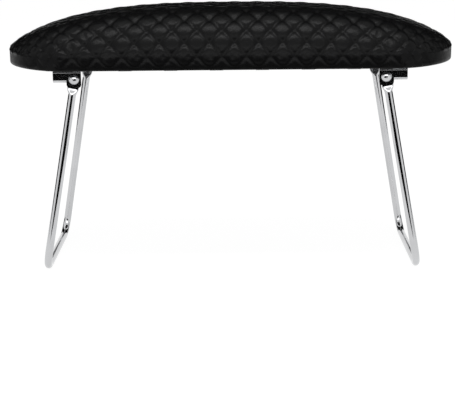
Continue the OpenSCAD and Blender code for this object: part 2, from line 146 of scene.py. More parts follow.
class Graph:
    """The nodes of one material, or of the world."""

    def __init__(self, tree: bpy.types.NodeTree) -> None:
        """Takes over an empty node tree."""
        self.tree = tree
        tree.nodes.clear()

    def node(
        self,
        kind: str,
        settings: Mapping[str, object] | None = None,
        inputs: Mapping[Union[str, int], Entry] | None = None,
        output: Union[str, int] = 0,
    ) -> Value:
        """Adds a node.

        Args:
            kind: the node's type.
            settings: its own properties, which are set first.
            inputs: the values or links of its sockets, by name or number.
            output: which output to hand back.

        Returns:
            That output.
        """
        made = self.tree.nodes.new(kind)
        for name, value in (settings or {}).items():
            setattr(made, name, value)
        for key, entry in (inputs or {}).items():
            self._feed(made.inputs[key], entry)
        return Value(self, made.outputs[output] if made.outputs else made.inputs[0])

    def _feed(self, socket: bpy.types.NodeSocket, entry: Entry) -> None:
        """Links a value to a socket, or sets the socket's own number or colour.

        Args:
            socket: the socket to feed.
            entry: the value to link, or the number or colour to set.
        """
        if isinstance(entry, Value):
            self.tree.links.new(entry.socket, socket)
        elif socket.type == "RGBA" and not isinstance(entry, (int, float)):
            socket.default_value = (*entry, 1.0) if len(entry) == 3 else tuple(entry)
        else:
            socket.default_value = entry

    def place(self, scale: Sequence[float] = (1.0, 1.0, 1.0), turn: float = 0.0) -> Value:
        """The place on the object in metres, stretched and turned about Z."""
        where = self.node("ShaderNodeTexCoord", output="Object")
        return self.node(
            "ShaderNodeMapping", {}, {"Vector": where, "Scale": tuple(scale), "Rotation": (0.0, 0.0, turn)}
        )

    def axes(self, where: Value) -> list[Value]:
        """The three numbers of a place."""
        apart = self.node("ShaderNodeSeparateXYZ", {}, {"Vector": where})
        return [apart.sibling(axis) for axis in "XYZ"]

    def noise(self, where: Value, scale: float, detail: float = 3.0, rough: float = 0.5) -> Value:
        """A cloudy number from 0 to 1."""
        inputs = {"Vector": where, "Scale": scale, "Detail": detail, "Roughness": rough}
        return self.node("ShaderNodeTexNoise", {}, inputs, "Fac")

    def cells(self, where: Value, scale: float) -> Value:
        """The distance to the nearest of many scattered points."""
        inputs = {"Vector": where, "Scale": scale}
        return self.node("ShaderNodeTexVoronoi", {"feature": "F1"}, inputs, "Distance")

    def blend(self, share: Number, first: Entry, second: Entry) -> Value:
        """A colour between two, by a share from 0 to 1."""
        return self.node(
            "ShaderNodeMix", {"data_type": "RGBA"}, {"Factor": share, 6: first, 7: second}, 2
        )

    def bump(
        self, height: Value, distance: float, strength: float = 1.0, under: Value | None = None
    ) -> Value:
        """A normal that follows a height.

        Args:
            height: the height, from about 0 to 1.
            distance: how high a height of 1 stands, in metres.
            strength: how much of it is used.
            under: a coarser normal that this one lies on.

        Returns:
            The normal.
        """
        inputs: dict[Union[str, int], Entry] = {
            "Height": height, "Distance": distance, "Strength": strength
        }
        if under is not None:
            inputs["Normal"] = under
        return self.node("ShaderNodeBump", {}, inputs)

    def surface(self, **sockets: Entry) -> None:
        """Adds the shader itself.

        Args:
            sockets: the values or links of its sockets, named with underscores for spaces.
        """
        inputs = {name.replace("_", " "): entry for name, entry in sockets.items()}
        shader = self.node("ShaderNodeBsdfPrincipled", {}, inputs)
        self.node("ShaderNodeOutputMaterial", {}, {"Surface": shader})


class Finish:
    """A finish that a piece is given: a named material with its own nodes."""

    title = "finish"

    def material(self) -> bpy.types.Material:
        """Builds the material.

        Returns:
            The material, named after the finish.
        """
        made = bpy.data.materials.new(self.title)
        made.use_nodes = True
        self.draw(Graph(made.node_tree))
        return made

    def draw(self, graph: Graph) -> None:
        """Adds the finish's nodes."""
        raise NotImplementedError


@dataclass(frozen=True)
class QuiltedLeatherette(Finish):
    """Black coated cloth with a fine pressed grain, quilted in diamonds.

    Args:
        colour: the coating's colour.
        sheen_colour: a lighter colour painted on the tops of the puffs, as a painted sheen.
        grain_pitch: distance between the grain's threads, in metres.
        roughness: how matt the coating is.
        shine: how much it mirrors, as the shader's specular level.
    """

    colour: tuple[float, float, float] = (0.0028, 0.0028, 0.0029)
    sheen_colour: tuple[float, float, float] = (0.0052, 0.0052, 0.0054)
    grain_pitch: float = 0.9 * MM
    roughness: float = 0.32
    shine: float = 0.075
    title = "quilted leatherette"

    def draw(self, graph: Graph) -> None:
        """Adds a pressed grain of crossing threads, its pores, and a painted sheen on the tops of the
        puffs.

        Args:
            graph: the material's nodes.
        """
        where = graph.place()
        along, across, up = graph.axes(where)
        wave = 2 * math.pi / self.grain_pitch
        threads = ((along * wave).sine() + ((across + up) * wave).sine()) * 0.25 + 0.5
        puff = graph.node("ShaderNodeAttribute", {"attribute_name": "puff"}, {}, "Fac")
        clouds = graph.noise(where, 60.0, 4.0)
        pores = graph.cells(where, 900.0)
        grain = threads * 0.6 + pores * 0.4
        # Painted sheen: a lighter colour on the tops of the puffs, in cloudy patches, standing in for the
        # light they catch; they are a little glossier there too
        painted_sheen = puff.ramp(0.35, 1.0) * (clouds * 0.7 + 0.3)
        normal = graph.bump(grain, 0.06 * MM, 0.55, graph.bump(clouds, 0.3 * MM, 0.25))
        graph.surface(
            Base_Color=graph.blend(painted_sheen, self.colour, self.sheen_colour),
            Roughness=self.roughness - painted_sheen * 0.06 + grain * 0.06,
            Specular_IOR_Level=self.shine,
            Normal=normal,
        )


@dataclass(frozen=True)
class Chrome(Finish):
    """Bright chrome plate with faint polishing marks.

    Args:
        colour: the plate's colour.
        roughness: how far it blurs what it reflects.
        marks: stretch of the polishing marks along X, Y and Z.
        title: the material's name.
    """

    colour: tuple[float, float, float] = (0.57, 0.575, 0.585)
    roughness: float = 0.05
    marks: tuple[float, float, float] = (1.0, 1.0, 0.08)
    title: str = "chrome"

    def draw(self, graph: Graph) -> None:
        """Adds haze in patches, drawn polishing marks and a few fine pits.

        Args:
            graph: the material's nodes.
        """
        haze = graph.noise(graph.place(), 45.0, 5.0)
        marks = graph.noise(graph.place(self.marks), 2200.0, 2.0)
        pits = graph.cells(graph.place(), 700.0).ramp(0.0, 0.08)
        tone = graph.blend(haze.ramp(0.3, 0.8), self.colour, tuple(0.9 * c for c in self.colour))
        graph.surface(
            Base_Color=tone,
            Metallic=1.0,
            Roughness=haze.ramp(0.35, 0.8, self.roughness, self.roughness + 0.05) + marks * 0.03,
            Normal=graph.bump(marks * 0.5 + pits * 0.5, 0.01 * MM, 0.06),
        )


@dataclass(frozen=True)
class ZincPlate(Finish):
    """Zinc-plated steel, cloudy and a little blue.

    Args:
        colour: the plate's colour.
        roughness: how matt it is.
        title: the material's name.
    """

    colour: tuple[float, float, float] = (0.6, 0.61, 0.64)
    roughness: float = 0.3
    title: str = "zinc plate"

    def draw(self, graph: Graph) -> None:
        """Adds the crystals of the plating and its uneven tone.

        Args:
            graph: the material's nodes.
        """
        where = graph.place()
        crystals = graph.cells(where, 1600.0)
        clouds = graph.noise(where, 300.0, 4.0)
        graph.surface(
            Base_Color=graph.blend(clouds, self.colour, tuple(0.72 * c for c in self.colour)),
            Metallic=1.0,
            Roughness=crystals * 0.15 + self.roughness,
            Normal=graph.bump(crystals, 0.02 * MM, 0.3),
        )


@dataclass(frozen=True)
class FeltLining(Finish):
    """Black non-woven cloth, pressed in a pattern of small dots.

    Args:
        colour: the fibres' colour.
        dot_pitch: distance between the pressed dots, in metres.
    """

    colour: tuple[float, float, float] = (0.012, 0.012, 0.013)
    dot_pitch: float = 1.6 * MM
    title = "felt lining"

    def draw(self, graph: Graph) -> None:
        """Adds tangled fibres and the dots that bond them.

        Args:
            graph: the material's nodes.
        """
        along, across, _ = graph.axes(graph.place(turn=math.radians(45.0)))
        wave = math.pi / self.dot_pitch
        columns = (along * wave).sine().absolute()
        rows = (across * wave).sine().absolute()
        dots = (columns * rows).ramp(0.55, 0.8)
        fibres = graph.noise(graph.place((1.0, 0.25, 1.0)), 1500.0, 6.0, 0.7)
        crossed = graph.noise(graph.place((0.25, 1.0, 1.0)), 1500.0, 6.0, 0.7)
        felt = (fibres + crossed) * 0.5
        graph.surface(
            Base_Color=graph.blend(felt, self.colour, tuple(3.2 * c for c in self.colour)),
            Roughness=0.86 - dots * 0.2,
            Normal=graph.bump(felt - dots * 0.5, 0.15 * MM, 0.6),
        )


@dataclass(frozen=True)
class Fibreboard(Finish):
    """Raw fibreboard with pressed flecks.

    Args:
        colour: the board's colour.
    """

    colour: tuple[float, float, float] = (0.42, 0.29, 0.17)
    title = "fibreboard"

    def draw(self, graph: Graph) -> None:
        """Adds long and short flecks of fibre.

        Args:
            graph: the material's nodes.
        """
        flecks = graph.noise(graph.place((0.3, 1.0, 1.0)), 420.0, 6.0, 0.65)
        dust = graph.noise(graph.place(), 2400.0, 2.0)
        graph.surface(
            Base_Color=graph.blend(flecks.ramp(0.3, 0.7), self.colour, (0.6, 0.45, 0.29)),
            Roughness=flecks * 0.1 + 0.8,
            Normal=graph.bump(flecks * 0.6 + dust * 0.4, 0.1 * MM, 0.5),
        )


@dataclass(frozen=True)
class OpenFoam(Finish):
    """Open-celled foam.

    Args:
        colour: the foam's colour.
    """

    colour: tuple[float, float, float] = (0.78, 0.7, 0.44)
    title = "open foam"

    def draw(self, graph: Graph) -> None:
        """Adds cells of two sizes, with painted shade in their pits.

        Args:
            graph: the material's nodes.
        """
        where = graph.place()
        cells = graph.cells(where, 1300.0)
        large = graph.cells(where, 420.0)
        depth = cells * 0.6 + large * 0.4
        graph.surface(
            # Painted shade: the foam is coloured darker in the pits of its cells
            Base_Color=graph.blend(depth.ramp(0.0, 0.6), (0.5, 0.43, 0.24), self.colour),
            Roughness=0.92 - depth * 0.05,
            Normal=graph.bump(depth, 0.4 * MM, 0.7),
        )


@dataclass(frozen=True)
class Nylon(Finish):
    """Natural nylon, slightly cloudy.

    Args:
        colour: the nylon's colour.
    """

    colour: tuple[float, float, float] = (0.72, 0.71, 0.66)
    title = "nylon"

    def draw(self, graph: Graph) -> None:
        """Adds a cloudy tone and fine turning marks.

        Args:
            graph: the material's nodes.
        """
        clouds = graph.noise(graph.place(), 500.0, 3.0)
        graph.surface(
            Base_Color=graph.blend(clouds, self.colour, tuple(0.86 * c for c in self.colour)),
            Roughness=clouds * 0.12 + 0.38,
            Normal=graph.bump(graph.noise(graph.place(), 1800.0), 0.02 * MM, 0.3),
        )


# Meshes


def smooth_step(share: Array) -> Array:
    """Shares held between 0 and 1 and eased at both ends."""
    share = np.clip(share, 0.0, 1.0)
    return share * share * (3 - 2 * share)


def new_mesh(
    name: str, points: Array, faces: Sequence[Sequence[int]], smooth: bool = True
) -> bpy.types.Object:
    """Makes an object from points and faces, in metres and in the part's own frame.

    Args:
        name: the object's name.
        points: one row for each vertex.
        faces: the vertex numbers of each face.
        smooth: whether the faces shade smoothly.

    Returns:
        The object, linked to the scene.
    """
    mesh = bpy.data.meshes.new(name)
    mesh.from_pydata(points.tolist(), [], [tuple(map(int, face)) for face in faces])
    mesh.update()
    mesh.polygons.foreach_set("use_smooth", [smooth] * len(mesh.polygons))
    made = bpy.data.objects.new(name, mesh)
    bpy.context.scene.collection.objects.link(made)
    return made


def tube_faces(rings: int, around: int) -> list[tuple[int, ...]]:
    """Faces of a closed tube: its side, and a cap at either end.

    Args:
        rings: how many rings of points it has.
        around: how many points each ring has.

    Returns:
        The point numbers of each face.
    """
    faces: list[tuple[int, ...]] = []
    for ring in range(rings - 1):
        for step in range(around):
            near, after = ring * around + step, ring * around + (step + 1) % around
            faces.append((near, after, after + around, near + around))
    last = (rings - 1) * around
    faces.append(tuple(range(around))[::-1])
    faces.append(tuple(range(last, last + around)))
    return faces


@dataclass(frozen=True)
class PadShape:
    """The pad's outline and crown, in metres.

    Args:
        length: length of the pad.
        depth: depth of the pad.
        end: length of each rounded end.
        roundness: the power of the ends' outline.
        crown: height of the crown above the wall.
        along: power and bluntness of the crown's fall along the pad.
        across: power and bluntness of the crown's fall across the pad.
    """

    length: float = 350.0 * MM
    depth: float = 125.0 * MM
    end: float = 48.0 * MM
    roundness: float = 1.7
    crown: float = 33.0 * MM
    along: tuple[float, float] = (2.75, 0.69)
    across: tuple[float, float] = (4.8, 0.93)

    def plan(self, u: Array, v: Array, inset: Array | float = 0.0) -> Array:
        """Bends a rectangle's shares into the pad's outline.

        Args:
            u: shares along the pad, from -1 to 1.
            v: shares across the pad, from -1 to 1.
            inset: how far the outline is drawn in.

        Returns:
            The places in plan, two numbers each.
        """
        straight = self.length / 2 - self.end
        reach = self.end - inset
        x = np.abs(u) * (straight + reach)
        into = np.clip((x - straight) / reach, 0.0, None)
        out = into * np.sqrt(1 - v * v / 2)
        deep = np.abs(v) * np.sqrt(np.clip(1 - into * into / 2, 0.0, 1.0))
        total = (out**self.roundness + deep**self.roundness) ** (1 / self.roundness)
        pull = np.where(total > 0, np.hypot(out, deep) / np.maximum(total, 1e-12), 1.0)
        return np.stack(
            [
                np.sign(u) * np.where(into > 0, straight + reach * out * pull, x),
                np.sign(v) * (self.depth / 2 - inset) * deep * pull,
            ],
            axis=-1,
        )

    def height(self, place: Array, inset: float = 0.0) -> Array:
        """Height of the crown above the wall over places in plan.

        Args:
            place: the places, two numbers each.
            inset: how far below the outer skin.

        Returns:
            The heights.
        """
        x = np.clip(np.abs(place[..., 0]) / (self.length / 2 - inset), 0.0, 1.0)
        y = self.share_across(place, inset)
        rise = (1 - x ** self.along[0]) ** self.along[1] * (1 - y ** self.across[0]) ** self.across[1]
        return (self.crown - inset) * rise

    def share_across(self, place: Array, inset: float = 0.0) -> Array:
        """How far places in plan lie from the pad's middle line, as a share of the way to its edge.

        Args:
            place: the places, two numbers or more each.
            inset: how far the edge is drawn in.

        Returns:
            The shares, from 0 to 1.
        """
        straight = self.length / 2 - self.end
        into = np.clip((np.abs(place[..., 0]) - straight) / (self.end - inset), 0.0, 1.0)
        half = (self.depth / 2 - inset) * (1 - into**self.roundness) ** (1 / self.roundness)
        share = np.clip(np.abs(place[..., 1]) / np.maximum(half, 1e-9), 0.0, 1.0)
        return np.where(half > 1e-9, share, 0.0)

    def normal(self, place: Array, inset: float = 0.0) -> Array:
        """Direction straight out of the crown over places in plan, judged a little way in.

        Args:
            place: the places, two numbers each.
            inset: how far below the outer skin.

        Returns:
            The directions, of length 1.
        """
        way_in, step = 0.97, 0.5 * MM
        inside = place * way_in
        right, back = np.array([step, 0.0]), np.array([0.0, step])
        rise_x = self.height(inside + right, inset) - self.height(inside - right, inset)
        rise_y = self.height(inside + back, inset) - self.height(inside - back, inset)
        out = np.stack([-rise_x, -rise_y, np.full_like(rise_x, 2 * step)], axis=-1)
        return out / np.linalg.norm(out, axis=-1, keepdims=True)

    def row_shares(self, even: Array) -> Array:
        """Shares across the pad that lie evenly over the crown.

        Args:
            even: even steps across it, from -1 to 1.

        Returns:
            The shares, from -1 to 1.
        """
        samples = 400
        share = np.linspace(0.0, 1.0, samples)
        rise = self.crown * (1 - share ** self.across[0]) ** self.across[1]
        run = np.hypot(np.diff(share * self.depth / 2), np.diff(rise))
        arc = np.concatenate([[0.0], np.cumsum(run)])
        return np.sign(even) * np.interp(np.abs(even) * arc[-1], arc, share)


@dataclass
class Shell:
    """A skin that is gathered ring by ring.

    Args:
        points: its points, one row each.
        stand: how far each point stands up in its diamond.
        faces: the point numbers of each face.
        rim: the numbers of the points round its open edge.
    """

    points: Array = field(default_factory=lambda: np.empty((0, 3)))
    stand: Array = field(default_factory=lambda: np.empty(0))
    faces: list[tuple[int, ...]] = field(default_factory=list)
    rim: Array = field(default_factory=lambda: np.empty(0, int))

    def add_points(self, points: Array, stand: Array) -> int:
        """Adds points.

        Args:
            points: their places.
            stand: how far each stands up in its diamond.

        Returns:
            The number of the first.
        """
        first = len(self.points)
        self.points = np.concatenate([self.points, points.reshape(-1, 3)])
        self.stand = np.concatenate([self.stand, stand.ravel()])
        return first

    def fill_grid(self, first: int, count_u: int, count_v: int, flip: bool = False) -> None:
        """Adds four-sided faces over a grid of points.

        Args:
            first: number of the grid's first point.
            count_u: faces along the grid.
            count_v: faces across the grid.
            flip: whether the faces look inwards.
        """
        rows, cols = np.meshgrid(np.arange(count_v), np.arange(count_u), indexing="ij")
        near = (first + rows * (count_u + 1) + cols).ravel()
        far = near + count_u + 1
        quads = np.stack([near, near + 1, far + 1, far], axis=1)
        self.faces += [tuple(quad[::-1]) if flip else tuple(quad) for quad in quads.tolist()]

    def join(self, ring: Array) -> None:
        """Joins the rim to another ring of points, which becomes the rim.

        Args:
            ring: the numbers of its points.
        """
        quads = np.stack([self.rim, ring, np.roll(ring, -1), np.roll(self.rim, -1)], axis=1)
        self.faces += [tuple(quad) for quad in quads.tolist()]
        self.rim = ring


@dataclass
class QuiltedCover:
    """The cover: one sheet quilted in diamonds over crown and wall, with its hem turned under.

    Args:
        shape: the pad that it covers.
        underside: height of the hem's underside.
        wall: height of the upright wall.
        columns: half diamonds along the pad.
        rows: half diamonds across the crown.
        shift: how far the pattern sits to one side.
        groove: depth of the quilting lines.
        fine: steps across each half diamond.
        wall_steps: steps down the wall.
        turn: radius where the wall turns under.
        hem: thickness of the hem.
        hem_width: width of the hem under the board.
        thickness: thickness of the cover.
        pressure: push of the padding on the skin.
        spare: leather to spare between the stitches, as a share.
        frames: steps of the simulation.
        most: furthest that it may move the skin.
        drawn: how much flatter the quilting is on the flat of the crown, as a share.
        loosens: where, as a share of the way to the pad's edge, the cover starts to lie loosely,
            and over how much of the way.
        tightens: where, as a share of the way to the pad's end, the quilting along the edge
            starts to fade, and over how much of the way.
        line_depth: share of the groove's depth along a quilting line.
        pit_depth: share of it where two lines cross.
        dip: share of it that falls away gently from a diamond's middle.
        softness: how far lines and crossings spread.
        wall_groove: depth of the wall's grooves, as a share of the crown's.
        sewn: how far a place may stand up in its diamond and still be held by the stitches.
        end_from: distance from the middle, as a share of the length, where the end walls start.
    """

    shape: PadShape = field(default_factory=PadShape)
    underside: float = 0.0
    wall: float = 11.0 * MM
    columns: int = 38
    rows: int = 15
    shift: float = 3.6 * MM
    groove: float = 1.8 * MM
    fine: int = 7
    wall_steps: int = 7
    turn: float = 1.5 * MM
    hem: float = 1.0 * MM
    hem_width: float = 28.0 * MM
    thickness: float = 2.8 * MM
    pressure: float = 3.0
    spare: float = 0.035
    frames: int = 12
    most: float = 1.0 * MM
    drawn: float = 0.5
    loosens: tuple[float, float] = (0.4, 0.3)
    tightens: tuple[float, float] = (0.8, 0.12)
    line_depth: float = 0.24
    pit_depth: float = 0.6
    dip: float = 0.16
    softness: float = 0.3
    wall_groove: float = 0.55
    sewn: float = 0.62
    end_from: float = 0.42

    def slack(self, place: Array) -> Array:
        """How loosely the cover lies: tight on the flat of the crown, loose down its slopes."""
        start, over = self.loosens
        return 1 - self.drawn * (1 - smooth_step((self.shape.share_across(place) - start) / over))

    def relief_kept(self, place: Array) -> Array:
        """Share of the edge's quilting that is left: none round the ends, where the cover is tight."""
        start, over = self.tightens
        return 1 - np.clip((np.abs(place[..., 0]) / self.shape.length * 2 - start) / over, 0.0, 1.0)

    def shares(self, col: Array, row: Array) -> tuple[Array, Array]:
        """Shares along and across the pad of places in the pattern, which sits to one side.

        Args:
            col: places along the pattern, in half diamonds.
            row: places across the pattern, in half diamonds.

        Returns:
            Shares along the pad and across it, from -1 to 1.
        """
        even = 2 * col / self.columns - 1
        u = even + self.shift / (self.shape.length / 2) * (1 - np.abs(even))
        return u, self.shape.row_shares(2 * row / self.rows - 1)

    def puff(self, col: Array, row: Array) -> Array:
        """How far the cover stands up between its quilting lines.

        Args:
            col: places along the pattern, in half diamonds.
            row: places across the pattern, in half diamonds.

        Returns:
            0 where lines cross, more along them, and 1 in the middle of a diamond.
        """
        one = np.abs(np.sin(np.pi * (col + row) / 2))
        two = np.abs(np.sin(np.pi * (col - row) / 2))
        low = np.minimum(one, two)
        line = np.exp(-((low / self.softness) ** 2))
        pit = np.exp(-(one**2 + two**2) / self.softness)
        return 1 - self.line_depth * line - self.pit_depth * pit - self.dip * (1 - one * two)

    def crown_points(self, col: Array, row: Array, inset: float, relief: bool) -> tuple[Array, Array]:
        """Places on the crown.

        Args:
            col: places along the pattern, in half diamonds.
            row: places across the pattern, in half diamonds.
            inset: how far below the outer skin they lie.
            relief: whether they follow the quilting.

        Returns:
            The places, and how far each stands up in its diamond.
        """
        place = self.shape.plan(*self.shares(col, row), inset)
        top = self.underside + self.wall
        points = np.concatenate([place, (top + self.shape.height(place, inset))[..., None]], axis=-1)
        stand = self.puff(col, row)
        if relief:
            to_end, to_side = np.minimum(col, self.columns - col), np.minimum(row, self.rows - row)
            edge = np.minimum(to_end, to_side)
            # Half as deep on the rim itself, and none at its four corners
            depth = self.groove * (0.5 + 0.5 * np.clip(edge, 0.0, 1.0))
            depth = depth * np.clip(to_end + to_side, 0.0, 1.0) * self.slack(place)
            # Round the ends it fades out towards the rim
            fade_over = 1.5
            lost = (1 - self.relief_kept(place)) * np.clip(1 - edge / fade_over, 0.0, 1.0)
            depth = depth * (1 - lost)
            points = points - ((1 - stand) * depth)[..., None] * self.shape.normal(place, inset)
        return points, stand

    def loop(self, count_u: int, count_v: int) -> Array:
        """The grid's edge, once round, as column and row numbers.

        Args:
            count_u: faces along the grid.
            count_v: faces across the grid.

        Returns:
            A column and a row number for each point of the edge.
        """
        sides = [
            [(c, 0) for c in range(count_u)],
            [(count_u, r) for r in range(count_v)],
            [(c, count_v) for c in range(count_u, 0, -1)],
            [(0, r) for r in range(count_v, 0, -1)],
        ]
        return np.array([at for side in sides for at in side])

    def rings(self, loop: Array) -> list[tuple[Array, Array]]:
        """The rings from the crown's edge down the wall, under, and back over the hem to the wall.

        Args:
            loop: column and row numbers round the grid's edge.

        Returns:
            For each ring its points, and how far each stands up in its diamond.
        """
        col, row = loop[:, 0] / self.fine, loop[:, 1] / self.fine
        u, v = self.shares(col, row)
        corner = np.minimum(col, self.columns - col) + np.minimum(row, self.rows - row)
        kept = self.relief_kept(self.shape.plan(u, v))
        made: list[tuple[Array, Array]] = []
        for step in range(1, self.wall_steps + 1):
            share = step / self.wall_steps
            level = self.underside + self.wall - share * (self.wall - self.turn)
            stand = self.wall_puff(loop, share)
            fade = kept * (1 - share**4)
            depth = self.groove * self.wall_groove * np.clip(corner, 0.0, 1.0) * (1 - stand) * fade
            made.append((np.column_stack([self.shape.plan(u, v, depth), np.full(len(u), level)]), stand))
        turn_angles, hem_insets = (30.0, 60.0, 90.0), (6.0 * MM, 14.0 * MM, self.hem_width)
        plain: list[tuple[float, float]] = []
        for swing in map(math.radians, turn_angles):
            level = self.underside + self.turn * (1 - math.sin(swing))
            plain.append((self.turn * (1 - math.cos(swing)), level))
        plain += [(inset, self.underside) for inset in hem_insets]
        plain += [(inset, self.underside + self.hem) for inset in (self.hem_width, self.thickness)]
        for inset, level in plain:
            place = self.shape.plan(u, v, inset)
            made.append((np.column_stack([place, np.full(len(u), level)]), np.ones(len(u))))
        return made

    def wall_puff(self, loop: Array, share: float) -> Array:
        """How far the wall stands up at a share of its height, where the diamonds run on.

        Args:
            loop: column and row numbers round the grid's edge.
            share: the way down the wall.

        Returns:
            0 where quilting lines cross, more along them, and 1 in the middle of a diamond.
        """
        col, row = loop[:, 0] / self.fine, loop[:, 1] / self.fine
        on_front = loop[:, 1] == 0
        on_back = loop[:, 1] == self.rows * self.fine
        low = np.where(on_front, -share, np.where(on_back, self.rows + share, row))
        out = np.where(
            on_front | on_back, col, np.where(loop[:, 0] == 0, -share, self.columns + share)
        )
        return self.puff(out, low)

    def build(self) -> bpy.types.Object:
        """Makes the cover as one closed shell: outer skin, hem and inner skin.

        Returns:
            The cover.
        """
        count_u, count_v = self.columns * self.fine, self.rows * self.fine
        rows, cols = np.meshgrid(np.arange(count_v + 1), np.arange(count_u + 1), indexing="ij")
        col, row = cols / self.fine, rows / self.fine
        loop = self.loop(count_u, count_v)
        shell = Shell()
        shell.add_points(*self.crown_points(col, row, 0.0, True))
        shell.fill_grid(0, count_u, count_v)
        edge = loop[:, 1] * (count_u + 1) + loop[:, 0]
        shell.rim = edge
        for number, (ring, stand) in enumerate(self.rings(loop), start=1):
            shell.join(shell.add_points(ring, stand) + np.arange(len(ring)))
            if number == self.wall_steps:
                self.swell(shell)
        inner, _ = self.crown_points(col, row, self.thickness, False)
        first = shell.add_points(inner, np.ones(col.shape))
        shell.join(first + edge)
        shell.fill_grid(first, count_u, count_v, flip=True)
        made = new_mesh("quilted_cover", shell.points, shell.faces)
        attribute = made.data.attributes.new("puff", "FLOAT", "POINT")
        attribute.data.foreach_set("value", shell.stand.astype(np.float32))
        made.data.materials.append(QuiltedLeatherette().material())
        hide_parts("leather_cover")
        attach(made, "pad")
        return made

    def swell(self, shell: Shell) -> None:
        """Lets the padding push the sewn skin up between its stitches, by a cloth simulation.

        The skin is held where it is stitched and along its lower edge. The rest has a little
        more leather than it needs, which the pressure lifts and which gathers at the stitches.

        Args:
            shell: the outer skin down to its lower edge, which is the rim.
        """
        # The cloth is solved larger, since the solver's settings suit sheets of metres
        grown = 10.0
        sheet = new_mesh("skin", shell.points * grown, shell.faces)
        held = sheet.vertex_groups.new(name="held")
        tight = np.flatnonzero((shell.stand < self.sewn) | self.at_end(shell.points))
        held.add(tight.tolist(), 1.0, "REPLACE")
        held.add(shell.rim.tolist(), 1.0, "REPLACE")
        cloth = sheet.modifiers.new("skin", "CLOTH")
        settings = cloth.settings
        settings.quality = 6
        settings.mass = 0.4
        settings.tension_stiffness = settings.compression_stiffness = 25.0
        settings.shear_stiffness = 8.0
        settings.bending_stiffness = 0.6
        settings.vertex_group_mass = "held"
        settings.use_pressure = True
        settings.uniform_pressure_force = self.pressure
        settings.shrink_min = -self.spare
        settings.effector_weights.gravity = 0.0
        cloth.collision_settings.use_collision = False
        cloth.point_cache.frame_start, cloth.point_cache.frame_end = 1, self.frames
        for number in range(1, self.frames + 1):
            bpy.context.scene.frame_set(number)
        solved = sheet.evaluated_get(bpy.context.evaluated_depsgraph_get()).to_mesh()
        places = np.empty(len(shell.points) * 3)
        solved.vertices.foreach_get("co", places)
        bpy.data.objects.remove(sheet)
        bpy.context.scene.frame_set(1)
        move = places.reshape(-1, 3) / grown - shell.points
        far = np.linalg.norm(move, axis=1, keepdims=True)
        log.info("skin: moved %.2f mm at most, %.2f mm on average", far.max() / MM, far.mean() / MM)
        kept = np.minimum(1.0, self.most / np.maximum(far, 1e-9))
        shell.points = shell.points + move * kept * self.slack(shell.points)[:, None]

    def at_end(self, points: Array) -> Array:
        """Whether places are on the wall round the pad's ends, where the cover is pulled tight."""
        low = points[:, 2] < self.underside + self.wall - 1e-6
        return low & (np.abs(points[:, 0]) > self.end_from * self.shape.length)


# Hardware


class Side(Enum):
    """The two ends of the pad."""

    LEFT = "left"
    RIGHT = "right"


class Face(Enum):
    """The front and the back of the pad."""

    FRONT = "front"
    REAR = "rear"


def dress(node: str, material: bpy.types.Material) -> None:
    """Gives a CAD node its finish, in each of its material slots.

    Args:
        node: the node's name.
        material: its finish.
    """
    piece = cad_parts[node]
    if not piece.data.materials:
        piece.data.materials.append(material)
    for slot in piece.material_slots:
        slot.material = material
    log.info("%s: %s", node, material.name)


def hinge_place(side: Side) -> Vector:
    """Where the axis of a hinge crosses the middle of the pad."""
    low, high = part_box(f"friction_washer_{side.value}_front")
    return Vector(((low.x + high.x) / 2, 0.0, (low.z + high.z) / 2))


